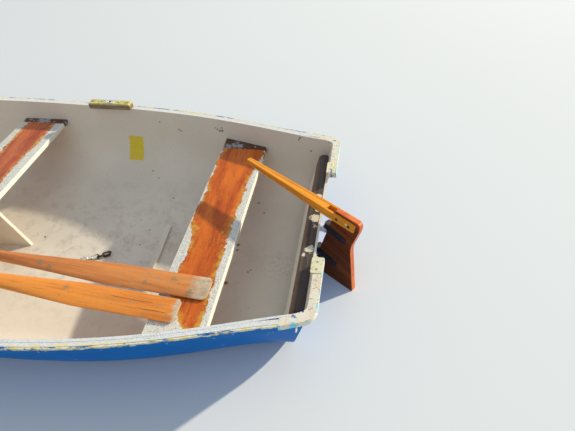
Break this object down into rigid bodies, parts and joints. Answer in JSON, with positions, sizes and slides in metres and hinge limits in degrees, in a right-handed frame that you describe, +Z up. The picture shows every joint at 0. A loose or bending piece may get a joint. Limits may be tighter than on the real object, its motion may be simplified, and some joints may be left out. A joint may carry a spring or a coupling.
{
  "type": "sailing dinghy",
  "caption": "Open glass-fibre sailing dinghy afloat: hung rudder with tiller, pivoting centreboard, free-standing mast, thwarts, oars laid on the thwarts.",
  "frame": {"origin": "on the waterline and the centreline, straight below the aft edge of the gunwale", "axes": "+X forward to the bow, +Y to port, +Z up"},
  "size_m": [3.2708, 1.3798, 3.0535],
  "materials": {
    "gelcoat_white": "chalky white gelcoat with dirt specks",
    "gelcoat_blue": "faded blue gelcoat, chipped along the rim",
    "gelcoat_cream": "bare cream moulding with blue remnants",
    "varnished_wood": "worn orange-brown varnish with pale paint margins",
    "weathered_wood": "dark weathered hardwood",
    "rudder_wood": "red-brown varnished board",
    "tiller_wood": "honey varnish over laminated slats",
    "oar_wood": "orange-brown varnish, grey weathered tips",
    "pad_wood": "bare weathered hardwood",
    "spar_wood": "varnished spruce",
    "galvanised_steel": "dull galvanised steel",
    "dark_steel": "tarnished dark straps",
    "brass": "tarnished sleeve"
  },
  "bodies": {
    "boat": {"hull_shell": "gelcoat_white", "strake_port": "gelcoat_blue", "strake_starboard": "gelcoat_blue", "corner_cap_port": "gelcoat_cream", "corner_cap_starboard": "gelcoat_cream", "bow_cap": "gelcoat_cream", "keel_strip": "gelcoat_blue", "bilge_runner_port": "gelcoat_blue", "bilge_runner_starboard": "gelcoat_blue", "stem_band": "galvanised_steel", "bow_eye": "galvanised_steel", "transom_doubler": "weathered_wood", "thwart_stern": "varnished_wood", "thwart_centre": "varnished_wood", "thwart_mast": "varnished_wood", "riser_port": "gelcoat_white", "riser_starboard": "gelcoat_white", "floor_rib": "gelcoat_white", "centre_web": "gelcoat_white", "centreboard_case": "gelcoat_white", "case_cap": "varnished_wood", "centreboard_pin": "galvanised_steel", "mast_step": "varnished_wood", "gudgeon_upper": "galvanised_steel", "gudgeon_lower": "galvanised_steel", "oar_inboard": "oar_wood", "oar_outboard": "oar_wood", "rowlock_pad_port": "pad_wood", "rowlock_pad_starboard": "pad_wood", "rowlock_sleeve_port": "brass", "rowlock_sleeve_starboard": "brass", "quarter_hook": "galvanised_steel", "chain": "galvanised_steel"},
    "rudder": {"rudder_board": "rudder_wood", "pintle_upper": "dark_steel", "pintle_lower": "dark_steel", "tiller_slat_port": "tiller_wood", "tiller_slat_starboard": "tiller_wood", "tiller_core": "tiller_wood"},
    "centreboard": {"centreboard": "varnished_wood"},
    "mast": {"mast": "spar_wood"}
  },
  "joints": [
    {"name": "rudder_hinge", "type": "hinge", "parent": "boat", "child": "rudder", "pos_m": [-0.00601, 0, 0.29158], "axis": [-0.2588, 0, 0.9659], "range_deg": [-35, 105]},
    {"name": "centreboard_hinge", "type": "hinge", "parent": "boat", "child": "centreboard", "pos_m": [2.225, 0, -0.046], "axis": [0, -1, 0], "range_deg": [0, 65]},
    {"name": "mast_turn", "type": "hinge", "parent": "boat", "child": "mast", "pos_m": [2.45, 0, 0], "axis": [0, 0, 1], "continuous": true}
  ]
}
